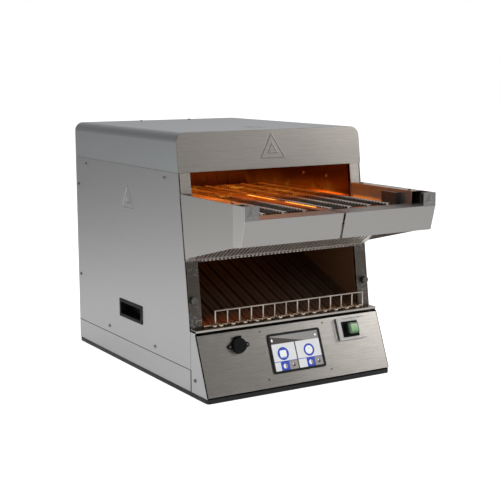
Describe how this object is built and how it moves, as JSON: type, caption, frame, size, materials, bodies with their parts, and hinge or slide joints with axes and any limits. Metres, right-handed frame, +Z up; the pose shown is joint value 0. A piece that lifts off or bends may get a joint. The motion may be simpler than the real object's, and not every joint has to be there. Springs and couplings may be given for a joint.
{
  "type": "conveyor toaster",
  "caption": "Countertop toaster with side-by-side wire belts, a boxed feed shelf, heaters above and below, a chute back to the front, a crumb tray, a wire guard and a touch panel.",
  "frame": {"origin": "on the counter, at the centre of the four leg holes in the base", "axes": "+X to the right of a person facing the controls, the front faces -Y, +Z is up"},
  "size_m": [0.3736, 0.6465, 0.4358],
  "materials": {
    "stainless": "fine straight brushing, satin",
    "bright_stainless": "bright rolled sheet, nearly mirror",
    "galvanised_steel": "zinc coated sheet",
    "black_painted_steel": "black powder coat",
    "brown_enamel": "dark brown coating, satin",
    "belt_wire": "heat-darkened wire",
    "rack_wire": "bright plated wire",
    "tool_steel": "machined, slightly oiled",
    "screw_steel": "plain steel heads",
    "heater_sheath": "glowing metal sheath",
    "ceramic": "unglazed",
    "mineral_wool": "loose fibre blanket",
    "foot_rubber": "matte",
    "black_plastic": "fine grain",
    "black_bezel": "moulded black frame round the screen",
    "screen_glass": "lit touch screen behind flat glass",
    "green_key": "translucent green key",
    "motor_paint": "dark grey casting",
    "board": "laminate with parts"
  },
  "bodies": {
    "chassis": {"left_side_panel": "stainless", "right_side_panel": "stainless", "side_skirts": "stainless", "console_cheeks": "stainless", "back_panel": "stainless", "hood_cover": "stainless", "hood_front": "stainless", "console_panel": "stainless", "left_shelf_side": "stainless", "right_shelf_side": "stainless", "left_shelf_front": "stainless", "right_shelf_front": "stainless", "front_frame": "stainless", "switch_guard": "stainless", "left_liner": "bright_stainless", "right_liner": "bright_stainless", "chamber_ceiling": "bright_stainless", "lower_reflector": "bright_stainless", "shelf_pan": "bright_stainless", "electronics_deck": "galvanised_steel", "base_pan": "black_painted_steel", "discharge_chute": "brown_enamel", "left_belt": "belt_wire", "right_belt": "belt_wire", "belt_bearings": "tool_steel", "belt_crossbars": "tool_steel", "centre_rail": "tool_steel", "drive_chains": "tool_steel", "button_screws": "screw_steel", "console_studs": "screw_steel", "fan_guard": "screw_steel", "upper_heaters": "heater_sheath", "lower_heaters": "heater_sheath", "heater_insulators": "ceramic", "hood_insulation": "mineral_wool", "rubber_feet": "foot_rubber", "handle_cups": "black_plastic", "usb_port": "black_plastic", "switch_housing": "black_plastic", "fan_frame": "black_plastic", "cord_gland": "black_plastic", "power_terminals": "black_plastic", "display_bezel": "black_bezel", "touch_screen": "screen_glass", "gearmotors": "motor_paint", "control_board": "board"},
    "left_drive": {"left_drive_shaft": "tool_steel"},
    "right_drive": {"right_drive_shaft": "tool_steel"},
    "left_idler_roller": {"left_idler": "tool_steel"},
    "right_idler_roller": {"right_idler": "tool_steel"},
    "left_pinion": {"left_motor_pinion": "tool_steel"},
    "right_pinion": {"right_motor_pinion": "tool_steel"},
    "fan": {"fan_rotor": "black_plastic"},
    "cap": {"usb_cap": "black_plastic"},
    "rocker": {"power_rocker": "green_key"},
    "tray": {"crumb_tray": "bright_stainless"},
    "rack": {"wire_rack": "rack_wire"},
    "left_knob": {"left_thumbscrew": "screw_steel"},
    "right_knob": {"right_thumbscrew": "screw_steel"}
  },
  "joints": [
    {"name": "left_drive_turn", "type": "hinge", "parent": "chassis", "child": "left_drive", "pos_m": [-0.085, 0.111, 0.2965], "axis": [1, 0, 0], "continuous": true},
    {"name": "left_idler_turn", "type": "hinge", "parent": "chassis", "child": "left_idler_roller", "pos_m": [-0.085, -0.301, 0.2965], "axis": [1, 0, 0], "continuous": true},
    {"name": "left_pinion_turn", "type": "hinge", "parent": "chassis", "child": "left_pinion", "pos_m": [-0.165, 0.15, 0.058], "axis": [1, 0, 0], "continuous": true},
    {"name": "left_knob_turn", "type": "hinge", "parent": "chassis", "child": "left_knob", "pos_m": [-0.175, -0.19705, 0.15977], "axis": [0, -0.9911, 0.1329], "continuous": true},
    {"name": "right_drive_turn", "type": "hinge", "parent": "chassis", "child": "right_drive", "pos_m": [0.085, 0.111, 0.2965], "axis": [1, 0, 0], "continuous": true},
    {"name": "right_idler_turn", "type": "hinge", "parent": "chassis", "child": "right_idler_roller", "pos_m": [0.085, -0.301, 0.2965], "axis": [1, 0, 0], "continuous": true},
    {"name": "right_pinion_turn", "type": "hinge", "parent": "chassis", "child": "right_pinion", "pos_m": [0.165, 0.15, 0.058], "axis": [1, 0, 0], "continuous": true},
    {"name": "right_knob_turn", "type": "hinge", "parent": "chassis", "child": "right_knob", "pos_m": [0.175, -0.19705, 0.15977], "axis": [0, -0.9911, 0.1329], "continuous": true},
    {"name": "fan_turn", "type": "hinge", "parent": "chassis", "child": "fan", "pos_m": [0, 0.243, 0.064], "axis": [0, 1, 0], "continuous": true},
    {"name": "usb_cap_hinge", "type": "hinge", "parent": "chassis", "child": "cap", "pos_m": [-0.1102, -0.23241, 0.09727], "axis": [-1, 0, 0], "range_deg": [0, 75]},
    {"name": "power_rocker_tilt", "type": "hinge", "parent": "chassis", "child": "rocker", "pos_m": [0.1192, -0.23244, 0.08229], "axis": [0, -0.3756, -0.9268], "range_deg": [0, 18]},
    {"name": "crumb_tray_slide", "type": "slide", "parent": "chassis", "child": "tray", "axis": [0, -1, 0], "range_m": [0, 0.16]},
    {"name": "rack_lift", "type": "slide", "parent": "chassis", "child": "rack", "axis": [0, 0, 1], "range_m": [0, 0.02]}
  ],
  "couplings": [
    {"joint": "left_idler_turn", "follows": "left_drive_turn", "ratio": 1},
    {"joint": "left_pinion_turn", "follows": "left_drive_turn", "ratio": 1},
    {"joint": "right_idler_turn", "follows": "right_drive_turn", "ratio": 1},
    {"joint": "right_pinion_turn", "follows": "right_drive_turn", "ratio": 1}
  ]
}
